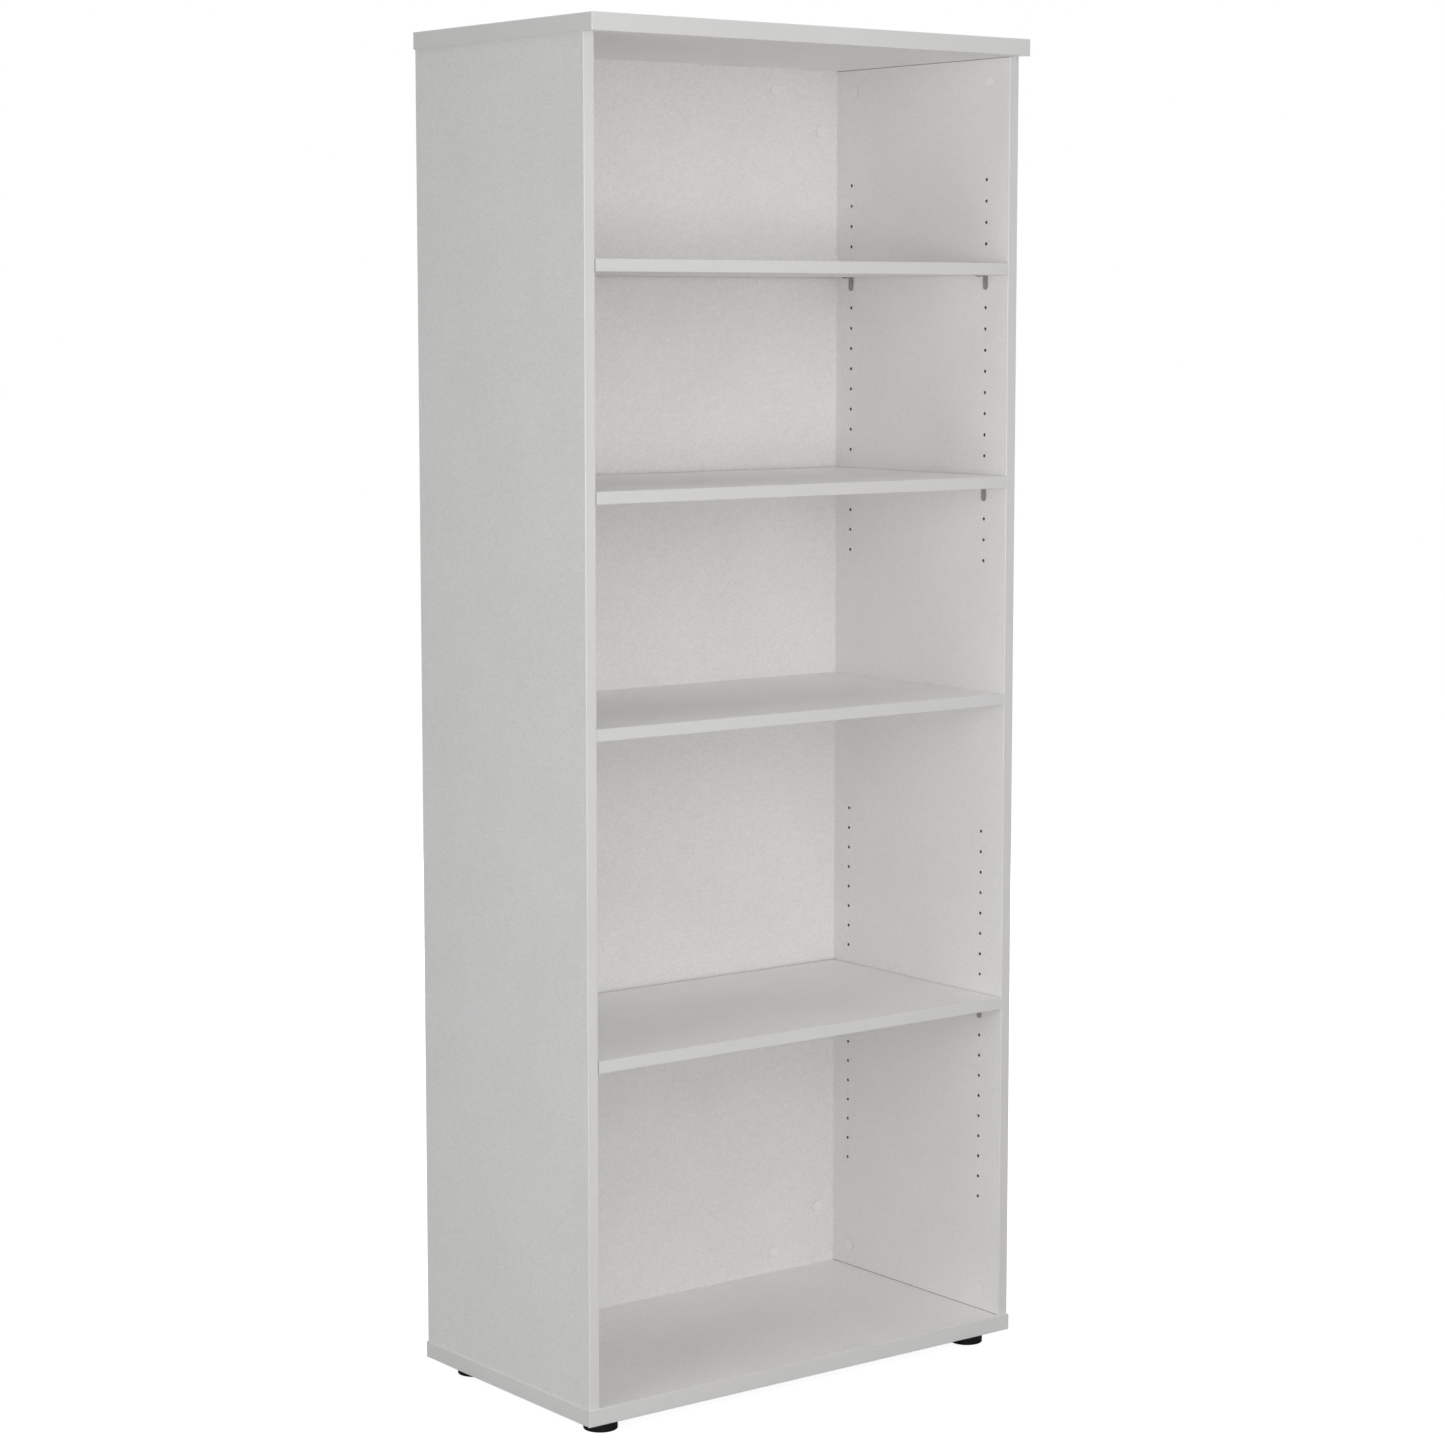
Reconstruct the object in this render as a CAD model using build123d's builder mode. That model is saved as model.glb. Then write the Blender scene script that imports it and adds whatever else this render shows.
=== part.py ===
from build123d import *
import os

# Tall open bookcase of melamine-faced chipboard. The side panels carry two columns of
# pin holes, and three of the four shelves lie on metal supports plugged into them.
# Frame: +Z up, the front faces -Y, X runs along the width. The origin is on the floor,
# at the centre of the bookcase's outline. All sizes are in millimetres.

os.makedirs("parts", exist_ok=True)

# ---- driving dimensions --------------------------------------------------------------

overall_width = 800.0
overall_depth = 450.0
overall_height = 2000.0
foot_gap = 20.0  # floor to the underside of the base
thick_board = 25.0  # top and base
thin_board = 18.0  # sides, back and shelves
side_depth = 425.0
side_overhang = 2.0  # top and base stand out past the sides' faces and rear edges
base_lip = 3.0  # the base stands out past the sides' front edges
back_clearance = 3.0  # behind an adjustable shelf
shelf_end_gap = 1.0  # beside an adjustable shelf
band = 2.0  # thickness of the edge banding
band_round = 1.5  # its rounded arris

pitch = 32.0  # rows of pin holes
rows_per_group = 19
end_margin = 180.0  # from each end of a side panel to its first hole
front_margin = 50.0  # from a side panel's front edge to the front column
column_spacing = 320.0
pin_hole_radius = 2.5
pin_hole_depth = 12.0

# ---- levels and faces worked out from them -------------------------------------------

base_bottom = foot_gap
base_top = base_bottom + thick_board
side_top = overall_height - thick_board
side_length = side_top - base_top
inner_x = overall_width / 2 - side_overhang - thin_board  # inner faces of the sides
rear_y = overall_depth / 2 - side_overhang  # rear edges of the sides
front_y = rear_y - side_depth  # front edges of the sides
back_face_y = rear_y - thin_board  # front face of the back panel
base_front_y = front_y - base_lip
base_rear_y = overall_depth / 2

front_column_y = front_y + front_margin
rear_column_y = front_column_y + column_spacing
upper_rows = [side_top - end_margin - pitch * row for row in range(rows_per_group)]
lower_rows = [base_top + end_margin + pitch * row for row in range(rows_per_group)]

# height of the support pins under each adjustable shelf
shelf_pins = {
    "upper_shelf": upper_rows[5],
    "second_shelf": upper_rows[15],
    "lower_shelf": lower_rows[9],
}
fixed_shelf_z = base_top + side_length / 2  # middle of the fixed shelf's thickness


def save(piece, node):
    """Label a finished piece and write it under its node name."""
    piece.part.label = node
    export_step(piece.part, f"parts/{node}.step")


def drill(mouths, radius, depth):
    """Blind round holes. Each mouth is a plane on the surface, facing outwards."""
    with Locations(*mouths):
        Hole(radius=radius, depth=depth)


# ---- hidden knock-down fittings ------------------------------------------------------
# Every corner joint has cam locks in the butting board, bolts screwed into the face that
# it butts against, and wooden dowels beside them. A joint is described by a plane: its
# origin is where the bolt crosses the joint, its z axis points into the butting board
# and its x axis is the way that the cam lock's mouth faces.

cam_distance = 34.0  # from the joint to the cam's centre
cam_radius = 7.4
cam_housing_radius = 7.5
cam_housing_depth = 14.0
cam_height = 13.5
cam_recess_radius = 3.2
cam_recess_depth = 2.0
bolt_thread_radius = 2.5
bolt_thread_length = 11.0
bolt_shank_radius = 3.0
bolt_head_radius = 3.5
bolt_head_length = 6.0
bolt_channel_radius = 4.0
dowel_radius = 4.0
dowel_length = 30.0
dowel_in_face = 11.5
drill_slack = 0.05  # radial slack of dowel and bolt holes
cap_radius = 9.0
cap_thickness = 0.8

cam_set_forward = 6.0  # cams stand this far in front of the pin-hole columns
cam_rows = (front_column_y - cam_set_forward, rear_column_y - cam_set_forward)
back_cam_x = 255.0  # cams along the back panel's top and bottom edges
back_cam_z = 95.0  # from the panel's ends to the cams along its side edges
dowel_offset = pitch  # from a bolt to the dowel beside it


def joint(x, y, z, inward, facing):
    """Plane of one bolt: z axis into the butting board, x axis out of the cam's mouth."""
    return Plane(origin=(x, y, z), x_dir=facing, z_dir=inward)


def shifted(planes, offsets):
    """The same planes moved by one offset each, for the dowels beside the bolts."""
    return [
        Plane(origin=plane.origin + Vector(*offset), x_dir=plane.x_dir, z_dir=plane.z_dir)
        for plane, offset in zip(planes, offsets)
    ]


def turned(planes):
    """The same joints seen from the other board, so that holes run into its end."""
    return [Plane(origin=p.origin, x_dir=p.x_dir, z_dir=-p.z_dir) for p in planes]


def cam_mouths(planes):
    """Planes on the board's face at the cams' centres, facing out of the mouths."""
    return [
        Plane(
            origin=p.origin + p.z_dir * cam_distance + p.x_dir * (thin_board / 2),
            x_dir=p.z_dir,
            z_dir=p.x_dir,
        )
        for p in planes
    ]


side_mid_x = inner_x + thin_board / 2
back_mid_y = back_face_y + thin_board / 2
down, up = (0, 0, -1), (0, 0, 1)
to_front = (0, -1, 0)

side_top_joints = {}
side_base_joints = {}
side_top_dowels = {}
side_base_dowels = {}
back_side_joints = {}
back_side_dowels = {}
shelf_joints = {}
shelf_dowels = {}
for side in (-1, 1):
    inward = (-side, 0, 0)
    towards_middle = [(0, dowel_offset, 0), (0, -dowel_offset, 0)]
    side_top_joints[side] = [joint(side * side_mid_x, y, side_top, down, inward) for y in cam_rows]
    side_base_joints[side] = [joint(side * side_mid_x, y, base_top, up, inward) for y in cam_rows]
    side_top_dowels[side] = shifted(side_top_joints[side], towards_middle)
    side_base_dowels[side] = shifted(side_base_joints[side], towards_middle)
    back_side_joints[side] = [
        joint(side * inner_x, back_mid_y, z, inward, to_front)
        for z in (base_top + back_cam_z, side_top - back_cam_z)
    ]
    back_side_dowels[side] = shifted(
        back_side_joints[side], [(0, 0, dowel_offset), (0, 0, -dowel_offset)]
    )
    shelf_joints[side] = [joint(side * inner_x, y, fixed_shelf_z, inward, down) for y in cam_rows]
    shelf_dowels[side] = shifted(shelf_joints[side], towards_middle)

back_top_joints = [joint(x, back_mid_y, side_top, down, to_front) for x in (-back_cam_x, back_cam_x)]
back_base_joints = [joint(x, back_mid_y, base_top, up, to_front) for x in (-back_cam_x, back_cam_x)]
towards_centre = [(dowel_offset, 0, 0), (-dowel_offset, 0, 0)]
back_top_dowels = shifted(back_top_joints, towards_centre)
back_base_dowels = shifted(back_base_joints, towards_centre)

top_joints = side_top_joints[-1] + side_top_joints[1] + back_top_joints
top_dowels = side_top_dowels[-1] + side_top_dowels[1] + back_top_dowels
base_joints = side_base_joints[-1] + side_base_joints[1] + back_base_joints
base_dowels = side_base_dowels[-1] + side_base_dowels[1] + back_base_dowels
back_joints = back_side_joints[-1] + back_side_joints[1]
all_joints = top_joints + base_joints + back_joints + shelf_joints[-1] + shelf_joints[1]
all_dowels = (
    top_dowels + base_dowels + back_side_dowels[-1] + back_side_dowels[1]
    + shelf_dowels[-1] + shelf_dowels[1]
)


def drill_face(joints, dowels):
    """Holes for the bolts' threads and the dowels in the face that is butted against."""
    drill(joints, bolt_thread_radius + drill_slack, bolt_thread_length)
    drill(dowels, dowel_radius + drill_slack, dowel_in_face)


def drill_end(joints, dowels):
    """Channels for the bolts and holes for the dowels in the end of the butting board."""
    drill(turned(joints), bolt_channel_radius, cam_distance)
    drill(turned(dowels), dowel_radius + drill_slack, dowel_length - dowel_in_face)
    drill(cam_mouths(joints), cam_housing_radius, cam_housing_depth)


# ---- levelling feet: positions and shared sizes --------------------------------------

foot_x = 350.0
foot_set_back = 44.0  # from the base's front edge to the front feet
foot_spacing = 330.0  # front feet to rear feet
foot_front_y = base_front_y + foot_set_back
foot_rear_y = foot_front_y + foot_spacing
foot_places = {
    "front_left": (-foot_x, foot_front_y),
    "front_right": (foot_x, foot_front_y),
    "rear_left": (-foot_x, foot_rear_y),
    "rear_right": (foot_x, foot_rear_y),
}
insert_radius = 7.5
insert_length = 20.0
insert_flange_radius = 11.0
insert_flange = 1.0
thread_radius = 5.0
running_slack = 0.05
stem_length_inside = 21.0
stem_end_room = 1.0  # above the stem in the base

# ---- boards --------------------------------------------------------------------------

with BuildPart() as top_panel:
    with BuildSketch(Plane.XY.offset(side_top)):
        Rectangle(overall_width - 2 * band, overall_depth - 2 * band)
    extrude(amount=thick_board)
    drill_face(top_joints, top_dowels)
save(top_panel, "top_panel")

base_mid_y = (base_front_y + base_rear_y) / 2
base_depth = base_rear_y - base_front_y
foot_mouths = [Plane(origin=(x, y, base_bottom), z_dir=down) for x, y in foot_places.values()]
with BuildPart() as base_panel:
    with BuildSketch(Plane((0, base_mid_y, base_bottom))):
        Rectangle(overall_width - 2 * band, base_depth - 2 * band)
    extrude(amount=thick_board)
    drill_face(base_joints, base_dowels)
    drill(foot_mouths, insert_radius + drill_slack, stem_length_inside + stem_end_room)
save(base_panel, "base_panel")

side_mid = ((front_y + rear_y) / 2, (base_top + side_top) / 2)
for side, name in ((-1, "left_side_panel"), (1, "right_side_panel")):
    pin_mouths = [
        Plane(origin=(side * inner_x, y, z), z_dir=(-side, 0, 0))
        for y in (front_column_y, rear_column_y)
        for z in upper_rows + lower_rows
    ]
    with BuildPart() as side_panel:
        with BuildSketch(Plane.YZ.offset(side * inner_x)):
            with Locations(side_mid):
                Rectangle(side_depth - 2 * band, side_length)
        extrude(amount=side * thin_board)
        drill(pin_mouths, pin_hole_radius, pin_hole_depth)
        drill_end(side_top_joints[side], side_top_dowels[side])
        drill_end(side_base_joints[side], side_base_dowels[side])
        drill_face(back_side_joints[side], back_side_dowels[side])
        drill_face(shelf_joints[side], shelf_dowels[side])
    save(side_panel, name)

with BuildPart() as back_panel:
    with BuildSketch(Plane.XZ.offset(-rear_y)):
        with Locations((0, side_mid[1])):
            Rectangle(2 * inner_x, side_length)
    extrude(amount=thin_board)
    drill_end(back_top_joints, back_top_dowels)
    drill_end(back_base_joints, back_base_dowels)
    drill_end(back_joints, back_side_dowels[-1] + back_side_dowels[1])
save(back_panel, "back_panel")

with BuildPart() as fixed_shelf:
    with BuildSketch(Plane.XY.offset(fixed_shelf_z - thin_board / 2)):
        with Locations((0, (front_y + band + back_face_y) / 2)):
            Rectangle(2 * inner_x, back_face_y - front_y - band)
    extrude(amount=thin_board)
    for side in (-1, 1):
        drill_end(shelf_joints[side], shelf_dowels[side])
save(fixed_shelf, "fixed_shelf")

ledge_height = 16.5  # from a support pin's axis up to the shelf's underside
adjustable_width = 2 * (inner_x - shelf_end_gap)
adjustable_rear_y = back_face_y - back_clearance
for name, pin_z in shelf_pins.items():
    with BuildPart() as shelf:
        with BuildSketch(Plane.XY.offset(pin_z + ledge_height)):
            with Locations((0, (front_y + band + adjustable_rear_y) / 2)):
                Rectangle(adjustable_width, adjustable_rear_y - front_y - band)
        extrude(amount=thin_board)
    save(shelf, name)

# ---- edge banding --------------------------------------------------------------------
# One strip on each exposed edge, with its outer arrises rounded over. The strips along
# the front and rear of the top and base run through to the corners.


def edge_strip(node, low, high, outward, through=False):
    """A strip between two corner points, rounded along its outer arrises."""
    size = Vector(*high) - Vector(*low)
    with BuildPart() as strip:
        with Locations((Vector(*low) + Vector(*high)) / 2):
            Box(*size)
        arrises = strip.faces().sort_by(Axis((0, 0, 0), outward))[-1].edges()
        if not through:
            arrises = arrises.sort_by(SortBy.LENGTH)[-2:]
        fillet(arrises, radius=band_round)
    save(strip, node)


def board_bands(board, y_front, y_rear, z_low):
    """The four strips around the top or the base."""
    x_out = overall_width / 2
    x_in = x_out - band
    z_high = z_low + thick_board
    edge_strip(
        f"{board}_edge_band_front",
        (-x_out, y_front, z_low), (x_out, y_front + band, z_high), to_front, through=True,
    )
    edge_strip(
        f"{board}_edge_band_rear",
        (-x_out, y_rear - band, z_low), (x_out, y_rear, z_high), (0, 1, 0), through=True,
    )
    edge_strip(
        f"{board}_edge_band_left",
        (-x_out, y_front + band, z_low), (-x_in, y_rear - band, z_high), (-1, 0, 0),
    )
    edge_strip(
        f"{board}_edge_band_right",
        (x_in, y_front + band, z_low), (x_out, y_rear - band, z_high), (1, 0, 0),
    )


def shelf_band(shelf_name, half_width, z_low):
    """The strip along a shelf's front edge."""
    edge_strip(
        f"{shelf_name}_edge_band",
        (-half_width, front_y, z_low), (half_width, front_y + band, z_low + thin_board), to_front,
    )


board_bands("top", -overall_depth / 2, overall_depth / 2, side_top)
board_bands("base", base_front_y, base_rear_y, base_bottom)
for side, name in ((-1, "left_side"), (1, "right_side")):
    x_low, x_high = sorted((side * inner_x, side * (inner_x + thin_board)))
    edge_strip(
        f"{name}_edge_band_front",
        (x_low, front_y, base_top), (x_high, front_y + band, side_top), to_front,
    )
    edge_strip(
        f"{name}_edge_band_rear",
        (x_low, rear_y - band, base_top), (x_high, rear_y, side_top), (0, 1, 0),
    )
shelf_band("fixed_shelf", inner_x, fixed_shelf_z - thin_board / 2)
for name, pin_z in shelf_pins.items():
    shelf_band(name, adjustable_width / 2, pin_z + ledge_height)

# ---- shelf supports ------------------------------------------------------------------
# A bent metal tab lies flat on the side panel. Its round foot surrounds the plug-in pin,
# and its ledge reaches in under the shelf and ends in a small pressed-down button.

tab_radius = 5.0
tab_thickness = 1.5
ledge_length = 17.0
support_pin_radius = 2.45
support_pin_length = 9.0
button_radius = 2.0
button_drop = 1.2
button_reach = 13.5  # from the side panel's face
bend_radius = 1.2
pin_tip_chamfer = 0.6

for shelf_name, pin_z in shelf_pins.items():
    for side, hand in ((-1, "left"), (1, "right")):
        for column_y, place in ((front_column_y, "front"), (rear_column_y, "rear")):
            # local x along the depth, y up, z out of the side panel's face
            wall = Plane(
                origin=(side * inner_x, column_y, pin_z),
                x_dir=(0, -side, 0),
                z_dir=(-side, 0, 0),
            )
            button_x = side * (inner_x - button_reach)
            ledge_underside = pin_z + ledge_height - tab_thickness
            with BuildPart() as support:
                with BuildSketch(wall):
                    Circle(tab_radius)
                    with Locations((0, ledge_height / 2)):
                        Rectangle(2 * tab_radius, ledge_height)
                extrude(amount=tab_thickness)
                with BuildSketch(wall):
                    with Locations((0, ledge_height - tab_thickness / 2)):
                        Rectangle(2 * tab_radius, tab_thickness)
                extrude(amount=ledge_length)
                inner_bend = (
                    support.edges()
                    .filter_by(Axis.Y)
                    .sort_by_distance((side * (inner_x - tab_thickness), column_y, ledge_underside))
                )[0]
                fillet(inner_bend, radius=bend_radius)
                free_corners = (
                    support.edges().filter_by(Axis.Z).sort_by(Axis((0, 0, 0), (-side, 0, 0)))
                )[-2:]
                fillet(free_corners, radius=bend_radius)
                with BuildSketch(Plane(origin=(button_x, column_y, ledge_underside), z_dir=down)):
                    Circle(button_radius)
                extrude(amount=button_drop)
                with BuildSketch(wall):
                    Circle(support_pin_radius)
                extrude(amount=-support_pin_length)
                pin_tip = support.edges().sort_by(Axis((0, 0, 0), (side, 0, 0)))[-1]
                chamfer(pin_tip, length=pin_tip_chamfer)
            save(support, f"{shelf_name}_support_{place}_{hand}")

# ---- levelling feet ------------------------------------------------------------------
# A round plastic pad swivels on the flange of a steel stem. The stem has a hexagon for a
# spanner and screws into a threaded insert in the base.

pad_radius = 25.0
pad_height = 14.0
pad_recess_radius = 17.0
pad_recess_depth = 1.0
pad_bottom_round = 1.5
pad_top_round = 2.0
flange_radius = 9.0
flange_low = 5.0
flange_high = 8.0
neck_radius = 6.0
hexagon_flats = 17.0
hexagon_gap = 0.5  # between the pad and the hexagon
hexagon_low = pad_height + hexagon_gap
hexagon_high = foot_gap - insert_flange
stem_tip_chamfer = 1.0

for name, (x, y) in foot_places.items():
    with BuildPart() as pad:
        with BuildSketch(Plane((x, y, 0))):
            Circle(pad_radius)
        extrude(amount=pad_height)
        fillet(pad.edges().group_by(Axis.Z)[0], radius=pad_bottom_round)
        fillet(pad.edges().group_by(Axis.Z)[-1], radius=pad_top_round)
        with BuildSketch(Plane((x, y, 0))):
            Circle(pad_recess_radius)
        extrude(amount=pad_recess_depth, mode=Mode.SUBTRACT)
        with BuildSketch(Plane((x, y, flange_low - running_slack))):
            Circle(flange_radius + running_slack)
        extrude(amount=flange_high - flange_low + 2 * running_slack, mode=Mode.SUBTRACT)
        with BuildSketch(Plane((x, y, flange_high))):
            Circle(neck_radius + running_slack)
        extrude(amount=pad_height - flange_high, mode=Mode.SUBTRACT)
    save(pad, f"foot_pad_{name}")

    with BuildPart() as stem:
        with BuildSketch(Plane((x, y, flange_low))):
            Circle(flange_radius)
        extrude(amount=flange_high - flange_low)
        with BuildSketch(Plane((x, y, flange_high))):
            Circle(neck_radius)
        extrude(amount=hexagon_low - flange_high)
        with BuildSketch(Plane((x, y, hexagon_low))):
            RegularPolygon(radius=hexagon_flats / 2, side_count=6, major_radius=False)
        extrude(amount=hexagon_high - hexagon_low)
        with BuildSketch(Plane((x, y, hexagon_high))):
            Circle(thread_radius)
        extrude(amount=base_bottom + stem_length_inside - hexagon_high)
        chamfer(stem.edges().sort_by(Axis.Z)[-1], length=stem_tip_chamfer)
    save(stem, f"foot_stem_{name}")

with BuildPart() as foot_inserts:
    with BuildSketch(Plane.XY.offset(base_bottom - insert_flange)):
        with Locations(*foot_places.values()):
            Circle(insert_flange_radius)
            Circle(thread_radius + running_slack, mode=Mode.SUBTRACT)
    extrude(amount=insert_flange)
    with BuildSketch(Plane.XY.offset(base_bottom)):
        with Locations(*foot_places.values()):
            Circle(insert_radius)
            Circle(thread_radius + running_slack, mode=Mode.SUBTRACT)
    extrude(amount=insert_length)
save(foot_inserts, "foot_inserts")

# ---- cam locks, bolts, dowels and cover caps -----------------------------------------

to_inside = (Align.CENTER, Align.CENTER, Align.MAX)
to_outside = (Align.CENTER, Align.CENTER, Align.MIN)
head_past_centre = 2.0  # the bolt's head ends this far past the cam's centre
bolt_reach = cam_distance + head_past_centre
head_slack = 0.3  # around the bolt's head in the cam
channel_past_centre = 4.0
dowel_chamfer = 0.8
cap_rim_round = 0.3
spigot_slack = 0.2  # between a cap's spigot and the cam's recess

with BuildPart() as cam_bolts:
    with Locations(*all_joints):
        Cylinder(bolt_thread_radius, bolt_thread_length, align=to_inside)
        Cylinder(bolt_shank_radius, bolt_reach - bolt_head_length, align=to_outside)
    with Locations(*[p.offset(bolt_reach - bolt_head_length) for p in all_joints]):
        Cylinder(bolt_head_radius, bolt_head_length, align=to_outside)
save(cam_bolts, "cam_bolts")

head_channels = [p.offset(cam_distance - cam_housing_radius) for p in all_joints]
head_channel_length = cam_housing_radius + channel_past_centre
with BuildPart() as cam_locks:
    with Locations(*[p.offset(-(cam_housing_depth - cam_height)) for p in cam_mouths(all_joints)]):
        Cylinder(cam_radius, cam_height - (cam_housing_depth - cam_height), align=to_inside)
        Cylinder(cam_recess_radius, cam_recess_depth, align=to_inside, mode=Mode.SUBTRACT)
    with Locations(*head_channels):
        Cylinder(
            bolt_head_radius + head_slack,
            head_channel_length,
            align=to_outside,
            mode=Mode.SUBTRACT,
        )
save(cam_locks, "cam_locks")

with BuildPart() as dowels:
    with Locations(*[p.offset(-dowel_in_face) for p in all_dowels]):
        Cylinder(dowel_radius, dowel_length, align=to_outside)
    chamfer(dowels.edges(), length=dowel_chamfer)
save(dowels, "dowels")

with BuildPart() as cam_cover_caps:
    with Locations(*cam_mouths(all_joints)):
        Cylinder(cap_radius, cap_thickness, align=to_outside)
        Cylinder(cam_recess_radius - spigot_slack, cam_recess_depth, align=to_inside)
    rims = cam_cover_caps.edges().filter_by(
        lambda edge: edge.geom_type == GeomType.CIRCLE and edge.radius > cam_recess_radius
    )
    fillet(rims, radius=cap_rim_round)
save(cam_cover_caps, "cam_cover_caps")
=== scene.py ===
"""Studio picture of the bookcase: materials for every piece, soft light, floor and camera."""

import math

import bpy
from mathutils import Euler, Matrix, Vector


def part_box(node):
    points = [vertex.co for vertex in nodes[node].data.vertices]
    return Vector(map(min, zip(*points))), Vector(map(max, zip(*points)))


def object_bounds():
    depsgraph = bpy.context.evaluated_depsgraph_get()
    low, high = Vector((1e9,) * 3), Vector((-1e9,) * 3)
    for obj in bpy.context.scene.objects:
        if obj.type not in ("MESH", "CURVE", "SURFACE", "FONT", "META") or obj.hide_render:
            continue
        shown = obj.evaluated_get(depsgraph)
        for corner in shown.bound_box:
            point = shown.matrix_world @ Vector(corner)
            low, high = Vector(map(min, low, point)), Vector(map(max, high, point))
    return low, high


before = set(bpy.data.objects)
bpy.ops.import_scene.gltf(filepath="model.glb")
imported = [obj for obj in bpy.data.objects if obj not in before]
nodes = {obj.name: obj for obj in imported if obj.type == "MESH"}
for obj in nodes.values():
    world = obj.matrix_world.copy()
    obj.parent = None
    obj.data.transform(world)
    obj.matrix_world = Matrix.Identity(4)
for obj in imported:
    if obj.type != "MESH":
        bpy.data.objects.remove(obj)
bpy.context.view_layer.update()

# ---- node trees ------------------------------------------------------------------------

MIDDLE = (0.3, 0.7)  # nearly all of a noise's values lie in here
WHITE = (1.0, 1.0, 1.0, 1.0)


class Tree:
    """The node tree of a material or a world, with short calls for adding and joining nodes."""

    def __init__(self, owner, shader="Principled BSDF"):
        owner.use_nodes = True
        self.owner = owner
        self.nodes = owner.node_tree.nodes
        self.links = owner.node_tree.links
        self.shader = self.nodes[shader]

    def add(self, kind, **settings):
        node = self.nodes.new(kind)
        for key, value in settings.items():
            setattr(node, key, value)
        return node

    def give(self, socket, value):
        """Links the socket if the value is another socket, and sets it if not."""
        if isinstance(value, bpy.types.NodeSocket):
            self.links.new(value, socket)
        else:
            socket.default_value = value

    def fill(self, node, **sockets):
        """Gives each named socket of a node its value. Underscores stand for spaces."""
        for name, value in sockets.items():
            self.give(node.inputs[name.replace("_", " ")], value)

    def coordinates(self):
        """Object coordinates: metres in the piece's own frame, so they travel with it."""
        return self.add("ShaderNodeTexCoord").outputs["Object"]

    def camera_sees(self):
        """1 where the camera looks straight at the surface, and 0 for all other light."""
        return self.add("ShaderNodeLightPath").outputs["Is Camera Ray"]

    def stretched(self, vector, scale):
        """The coordinates multiplied along each axis, for grain that has a direction."""
        mapping = self.add("ShaderNodeMapping")
        self.fill(mapping, Vector=vector, Scale=scale)
        return mapping.outputs["Vector"]

    def noise(self, vector, grain, detail=2.0, roughness=0.5):
        """Noise whose features are about grain metres across."""
        noise = self.add("ShaderNodeTexNoise")
        self.fill(noise, Vector=vector, Scale=1.0 / grain, Detail=detail, Roughness=roughness)
        return noise.outputs["Fac"]

    def cells(self, vector, size, output="Distance"):
        """Voronoi cells about size metres across."""
        cells = self.add("ShaderNodeTexVoronoi", feature="F1")
        self.fill(cells, Vector=vector, Scale=1.0 / size)
        return cells.outputs[output]

    def ramp(self, factor, *stops):
        """A colour ramp. Each stop is (position, colour)."""
        ramp = self.add("ShaderNodeValToRGB")
        elements = ramp.color_ramp.elements
        while len(elements) < len(stops):
            elements.new(0.5)
        for element, (position, colour) in zip(elements, stops):
            element.position = position
            element.color = (*colour, 1.0)
        self.fill(ramp, Fac=factor)
        return ramp.outputs["Color"]

    def blend(self, factor, first, last, span=MIDDLE):
        """A ramp from the first colour to the last over the factor's span."""
        return self.ramp(factor, (span[0], first), (span[1], last))

    def map_range(self, value, low, high, span):
        """The value's span mapped to low and high, and held at them outside it."""
        mapped = self.add("ShaderNodeMapRange")
        self.fill(mapped, Value=value, From_Min=span[0], From_Max=span[1], To_Min=low, To_Max=high)
        return mapped.outputs["Result"]

    def spread(self, factor, low, high):
        """A noise's middle range mapped to low and high."""
        return self.map_range(factor, low, high, MIDDLE)

    def multiply(self, colour, factor):
        """The colour darkened by a grey factor."""
        mix = self.add("ShaderNodeMix", data_type="RGBA", blend_type="MULTIPLY")
        self.fill(mix, Factor=1.0, A=colour, B=factor)
        return mix.outputs["Result"]

    def compute(self, operation, first, second):
        """One step of arithmetic on two values, each of them a number or a socket."""
        step = self.add("ShaderNodeMath", operation=operation)
        for socket, value in zip(step.inputs, (first, second)):
            self.give(socket, value)
        return step.outputs["Value"]

    def bump(self, height, strength, distance, normal=None):
        """A normal that follows the height. With normal, it is laid over that one."""
        bump = self.add("ShaderNodeBump")
        self.fill(bump, Height=height, Strength=strength, Distance=distance)
        if normal is not None:
            self.fill(bump, Normal=normal)
        return bump.outputs["Normal"]

    def painted_joint_shadows(self, vector, bottom, top):
        """Painted shadow: a fine dark line at the heights bottom and top, standing in for the
        shade in the joints' gaps, and white everywhere between them.
        """
        split = self.add("ShaderNodeSeparateXYZ")
        self.fill(split, Vector=vector)
        height = split.outputs["Z"]
        above = self.compute("SUBTRACT", height, bottom)
        below = self.compute("SUBTRACT", top, height)
        from_end = self.compute("MINIMUM", above, below)
        return self.map_range(from_end, JOINT_SHADOW_TONE, 1.0, (JOINT_SHADOW_FULL, JOINT_SHADOW_END))

    def finish(self, **sockets):
        """Gives the shader's sockets their values, and returns the material or world."""
        self.fill(self.shader, **sockets)
        return self.owner


def new_material(name):
    return Tree(bpy.data.materials.new(name))


def grey(value, warmth=0.0):
    """A grey that leans to yellow with more warmth."""
    green_share = 0.4  # how much of the warmth the green loses, where the blue loses it all
    return (value, value * (1 - green_share * warmth), value * (1 - warmth))


# ---- materials -------------------------------------------------------------------------

# Sizes and bump distances are in metres.
BOARD_WHITE = 0.965
BAND_WHITE = 0.865
WARMTH = 0.022
# Painted shadow: fine dark lines where the side panels meet the top and base, standing in for the
# shade in the joints' gaps.
JOINT_SHADOW_FULL = 0.0004  # the painted joint shadow is at its darkest up to here from the board's end
JOINT_SHADOW_END = 0.0012  # and it has faded out here
JOINT_SHADOW_TONE = 0.12
FLAKE_SIZE = 0.0024


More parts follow.
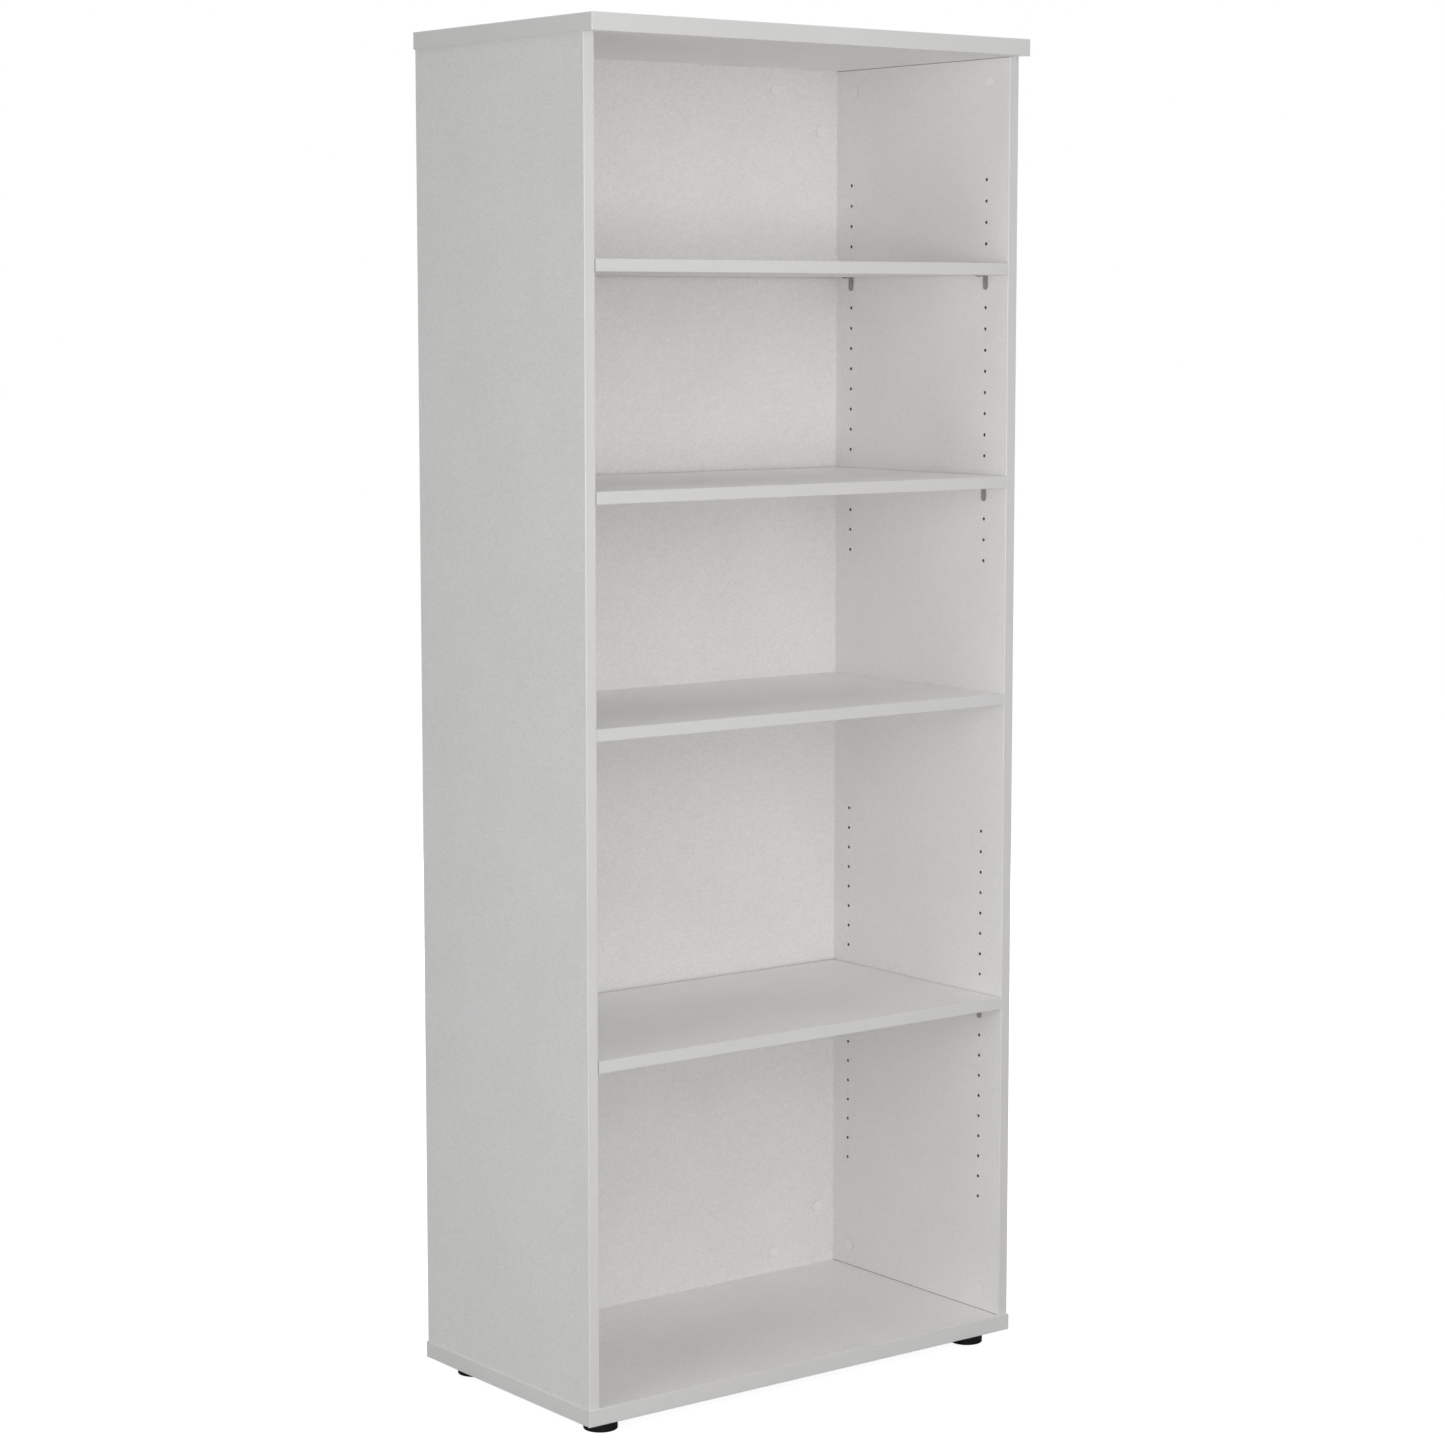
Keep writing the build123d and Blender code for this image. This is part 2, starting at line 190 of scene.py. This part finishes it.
def drifting_white(tree, drift, white):
    """A warm white that grows lighter and cooler with the drift."""
    dim, dim_warmth = white * 0.985, WARMTH
    light, light_warmth = white * 1.010, WARMTH * 0.7
    return tree.blend(drift, grey(dim, dim_warmth), grey(light, light_warmth))


def melamine(name, ends=None):
    """Pale grey-white melamine facing with a fine pearled surface.

    With ends, the heights of a side panel's two ends, fine dark lines of painted shadow are drawn
    at the joints there.
    """
    tree = new_material(name)
    at = tree.coordinates()
    pearl = tree.noise(at, grain=0.0029, detail=3.0, roughness=0.75)
    orange_peel = tree.noise(at, grain=0.009)
    body = drifting_white(tree, tree.noise(at, grain=0.12), BOARD_WHITE)
    grain = tree.blend(pearl, grey(0.875), grey(1.0), span=(0.34, 0.66))
    mottle = tree.blend(orange_peel, grey(0.975), grey(1.0), span=(0.32, 0.68))
    colour = tree.multiply(tree.multiply(body, grain), mottle)
    # painted shadow: dark lines along the joints at the side panel's ends
    if ends:
        colour = tree.multiply(colour, tree.painted_joint_shadows(at, *ends))
    skin = tree.bump(pearl, strength=0.20, distance=0.0004)
    return tree.finish(
        Base_Color=colour,
        Roughness=tree.spread(pearl, 0.42, 0.55),
        Normal=tree.bump(orange_peel, strength=0.12, distance=0.0005, normal=skin),
        Specular_IOR_Level=0.40,
    )


def chipboard():
    """Raw chipboard: pressed wood flakes, as it shows inside the drilled holes."""
    tree = new_material("chipboard_core")
    flakes = tree.stretched(tree.coordinates(), (1.0, 0.55, 1.6))
    fibre = tree.noise(flakes, grain=0.0009, detail=4.0)
    body = tree.ramp(
        tree.cells(flakes, FLAKE_SIZE, output="Color"),
        (0.15, (0.115, 0.080, 0.050)),
        (0.50, (0.220, 0.165, 0.110)),
        (0.85, (0.350, 0.275, 0.190)),
    )
    shade = tree.blend(fibre, grey(0.70), grey(1.0))
    rough = tree.bump(tree.cells(flakes, FLAKE_SIZE), strength=0.6, distance=0.0006)
    return tree.finish(
        Base_Color=tree.multiply(body, shade),
        Roughness=tree.spread(fibre, 0.80, 0.95),
        Normal=tree.bump(fibre, strength=0.4, distance=0.0003, normal=rough),
    )


def banding():
    """Plastic edge banding, smoother than the facing and a little darker."""
    tree = new_material("edge_banding")
    at = tree.coordinates()
    mottle = tree.noise(at, grain=0.0028, detail=3.0, roughness=0.65)
    body = drifting_white(tree, tree.noise(at, grain=0.16, detail=1.0), BAND_WHITE)
    grain = tree.blend(mottle, grey(0.965), grey(1.0))
    return tree.finish(
        Base_Color=tree.multiply(body, grain),
        Roughness=tree.spread(mottle, 0.28, 0.38),
        Normal=tree.bump(mottle, strength=0.12, distance=0.0003),
        Specular_IOR_Level=0.5,
    )


def cap_plastic(name, tone):
    """White moulded plastic for the cover caps, greyer with a lower tone."""
    tree = new_material(name)
    skin = tree.noise(tree.coordinates(), grain=0.0012)
    vary = 0.012
    colour = tree.blend(skin, grey(tone - vary, WARMTH), grey(tone + vary, WARMTH))
    return tree.finish(
        Base_Color=colour,
        Roughness=tree.spread(skin, 0.22, 0.32),
        Normal=tree.bump(skin, strength=0.08, distance=0.0002),
    )


def plated_metal(name, tone, roughness, grain, scratch=(1.0, 1.0, 1.0)):
    """Plated or cast metal: slight clouding, and fine scratches.

    The scratches are longest along the axis with the least number in scratch.
    """
    tree = new_material(name)
    at = tree.coordinates()
    lines = tree.noise(tree.stretched(at, scratch), grain, detail=4.0, roughness=0.6)
    cloud_size = 12 * grain
    clouds = tree.noise(at, cloud_size, detail=3.0)
    body = tree.blend(clouds, grey(tone * 0.86, 0.015), grey(tone * 1.10, 0.03))
    shade = tree.blend(lines, grey(0.90), grey(1.0))
    return tree.finish(
        Base_Color=tree.multiply(body, shade),
        Metallic=1.0,
        Roughness=tree.spread(lines, roughness - 0.06, roughness + 0.08),
        Normal=tree.bump(lines, strength=0.15, distance=0.0001),
    )


def black_plastic():
    """Black moulded plastic with a fine matt texture and a little dust."""
    tree = new_material("foot_black_plastic")
    at = tree.coordinates()
    texture = tree.noise(at, grain=0.0009, detail=3.0)
    dust = tree.noise(at, grain=0.012, detail=3.0)
    return tree.finish(
        Base_Color=tree.blend(dust, grey(0.004), grey(0.011, 0.05), span=(0.35, 0.75)),
        Roughness=tree.spread(texture, 0.46, 0.62),
        Normal=tree.bump(texture, strength=0.25, distance=0.0002),
        Specular_IOR_Level=0.3,
    )


def beech():
    """Plain beech, with its grain running up and down."""
    tree = new_material("dowel_beech")
    at = tree.coordinates()
    upright = tree.stretched(at, (6.0, 6.0, 1.0))
    grain = tree.noise(upright, grain=0.006, detail=4.0, roughness=0.6)
    pores = tree.cells(tree.stretched(at, (4.0, 4.0, 1.0)), size=0.002)
    colour = tree.ramp(
        grain,
        (0.30, (0.46, 0.29, 0.15)),
        (0.55, (0.57, 0.38, 0.21)),
        (0.75, (0.66, 0.46, 0.27)),
    )
    return tree.finish(
        Base_Color=colour,
        Roughness=tree.spread(grain, 0.55, 0.72),
        Normal=tree.bump(pores, strength=0.3, distance=0.0002),
    )


panel_low, panel_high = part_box("right_side_panel")
facing = melamine("melamine_facing")
# the inner facing carries the painted joint shadows
inner_facing = melamine("melamine_inner_facing_painted_shadow", ends=(panel_low.z, panel_high.z))
core = chipboard()
cap_face = cap_plastic("cover_cap_face", 0.955)
# painted shade: the rims' darker grey stands in for the shadow around each cap
painted_shade_rim = cap_plastic("cover_cap_rim", 0.62)

# ---- giving the materials to the pieces ------------------------------------------------

SMOOTH_ANGLE = math.radians(32)
SQUARE_ON = 0.99  # a face looks along an axis if its normal's part on it is more than this
NEAR = 0.0001  # a face lies on a board's outside if it is nearer than this to it
X, Y, Z = range(3)


def paint(node, *materials):
    """Replaces a node's materials, smooths its round faces, and returns all its faces."""
    mesh = nodes[node].data
    mesh.materials.clear()
    for material in materials:
        mesh.materials.append(material)
    mesh.polygons.foreach_set("use_smooth", [True] * len(mesh.polygons))
    mesh.set_sharp_from_angle(angle=SMOOTH_ANGLE)
    return mesh.polygons


def paint_board(node, axis):
    """Facing on the two broad faces across the axis, and chipboard on the ends and in holes.

    A side panel's inner face gets the facing with the painted shadow lines at its joints.
    """
    facing_slot, core_slot, inner_slot = range(3)
    faces = paint(node, facing, core, inner_facing)
    low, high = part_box(node)
    for face in faces:
        place = face.center[axis]
        depth = min(place - low[axis], high[axis] - place)
        broad = abs(face.normal[axis]) > SQUARE_ON and depth < NEAR
        inner = axis == X and face.normal.x * place < 0
        face.material_index = (inner_slot if inner else facing_slot) if broad else core_slot


def paint_caps(node):
    """White faces, and painted shade on the rounded rims: their darker grey stands in for the
    shadow in the gap around each cap, which outlines the caps faintly.
    """
    face_slot, rim_slot = range(2)
    for face in paint(node, cap_face, painted_shade_rim):
        flat = max(abs(part) for part in face.normal) > SQUARE_ON
        face.material_index = face_slot if flat else rim_slot


# each board, and the axis that it is thin along
BOARDS = {
    "top_panel": Z,
    "base_panel": Z,
    "left_side_panel": X,
    "right_side_panel": X,
    "back_panel": Y,
    "fixed_shelf": Z,
    "upper_shelf": Z,
    "second_shelf": Z,
    "lower_shelf": Z,
}
CAPS = "cam_cover_caps"
# The supports are scratched along their height, and the stems around.
nickel = plated_metal("support_nickel", 0.46, 0.46, grain=0.0006, scratch=(1.0, 1.0, 0.25))
stem_zinc = plated_metal("stem_zinc", 0.52, 0.36, grain=0.0005, scratch=(1.0, 1.0, 4.0))
# part of a node's name, and its material
MATERIAL_OF = {
    "edge_band": banding(),
    "_support_": nickel,
    "foot_pad": black_plastic(),
    "foot_stem": stem_zinc,
    "foot_inserts": plated_metal("insert_zinc", 0.58, 0.34, grain=0.0005),
    "cam_locks": plated_metal("cam_die_cast_zinc", 0.50, 0.50, grain=0.0008),
    "cam_bolts": plated_metal("bolt_bright_zinc", 0.66, 0.28, grain=0.0004),
    "dowels": beech(),
}
for node in nodes:
    if node in BOARDS:
        paint_board(node, BOARDS[node])
    elif node == CAPS:
        paint_caps(node)
    else:
        paint(node, next(material for part, material in MATERIAL_OF.items() if part in node))

# ---- floor and light -------------------------------------------------------------------

SHOWN_ROOM = 1.0  # brightness of the room as the picture shows it
ROOM_LIGHT = 0.22  # brightness of the room as it lights the bookcase
FLOOR_LIFT = 0.865  # added to the floor in the picture, so that it comes out nearly white
FLOOR_REACH = 60.0
# each soft light: its place, its width and height in metres, and its power in watts
LIGHTS = {
    "key_light": ((-2.8, -4.2, 1.6), 2.4, 2.4, 21.0),
    "front_light": ((0.0, -4.5, 1.3), 3.0, 2.4, 14.0),
    "low_light": ((-1.6, -3.4, 1.15), 0.8, 0.6, 13.5),
    "high_light": ((-0.3, -2.6, 2.3), 1.6, 1.6, 14.0),
    "side_light": ((-3.0, -0.8, 1.1), 1.2, 1.2, 17.5),
    "overhead_light": ((-0.8, -0.2, 4.6), 3.0, 2.4, 38.0),
    "rear_light": ((3.2, 3.6, 1.6), 2.4, 2.4, 72.0),
}

low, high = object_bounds()
centre = (low + high) / 2


def show(name, data):
    """A new object in the scene."""
    piece = bpy.data.objects.new(name, data)
    bpy.context.scene.collection.objects.link(piece)
    return piece


def floor():
    """A wide pale floor that runs out of sight."""
    tree = new_material("pale_floor")
    tone = tree.noise(tree.coordinates(), grain=0.8)
    material = tree.finish(
        Base_Color=tree.blend(tone, grey(0.59), grey(0.61)),
        Roughness=0.85,
        Specular_IOR_Level=0.1,
        Emission_Color=WHITE,
        Emission_Strength=tree.compute("MULTIPLY", tree.camera_sees(), FLOOR_LIFT),
    )
    corners = [
        (-FLOOR_REACH, -FLOOR_REACH, low.z),
        (FLOOR_REACH, -FLOOR_REACH, low.z),
        (FLOOR_REACH, FLOOR_REACH, low.z),
        (-FLOOR_REACH, FLOOR_REACH, low.z),
    ]
    mesh = bpy.data.meshes.new("floor")
    mesh.from_pydata(corners, [], [(0, 1, 2, 3)])
    mesh.materials.append(material)
    piece = show("floor", mesh)


def room():
    """A plain white room. It shows whiter than it lights, as a backdrop with its own lamps."""
    tree = Tree(bpy.data.worlds.new("studio"), "Background")
    strength = tree.map_range(tree.camera_sees(), ROOM_LIGHT, SHOWN_ROOM, (0.0, 1.0))
    bpy.context.scene.world = tree.finish(Color=WHITE, Strength=strength)


def softbox(name, place, width, height, power):
    """A rectangular soft light that the camera doesn't see, aimed at the bookcase's centre."""
    light = bpy.data.lights.new(name, "AREA")
    light.shape = "RECTANGLE"
    light.size = width
    light.size_y = height
    light.energy = power
    lamp = show(name, light)
    lamp.location = place
    lamp.rotation_euler = (centre - Vector(place)).to_track_quat("-Z", "Y").to_euler()
    lamp.visible_camera = False


floor()
room()
for light_name, light_setting in LIGHTS.items():
    softbox(light_name, *light_setting)

# ---- camera ----------------------------------------------------------------------------

# The camera was solved from the photo.
CAMERA_PLACE = (-3.151, -4.116, 1.5945)
CAMERA_HEADING = math.radians(37.385)  # turned from +Y towards +X
CAMERA_TILT = math.radians(-6.73)
FOCAL_LENGTH = 86.38  # mm, as the sensor's width
SENSOR_WIDTH = 36.0
FARTHEST = 200.0  # metres, past the floor's edge
LIGHT_BOUNCES = 10  # so that light finds its way deep into the white bays


def camera():
    data = bpy.data.cameras.new("camera")
    data.lens = FOCAL_LENGTH
    data.sensor_width = SENSOR_WIDTH
    data.clip_end = FARTHEST
    piece = show("camera", data)
    piece.location = CAMERA_PLACE
    piece.rotation_euler = Euler((math.radians(90) + CAMERA_TILT, 0.0, -CAMERA_HEADING))
    bpy.context.scene.camera = piece


camera()
bpy.context.scene.view_settings.view_transform = "Standard"
bpy.context.scene.cycles.diffuse_bounces = LIGHT_BOUNCES
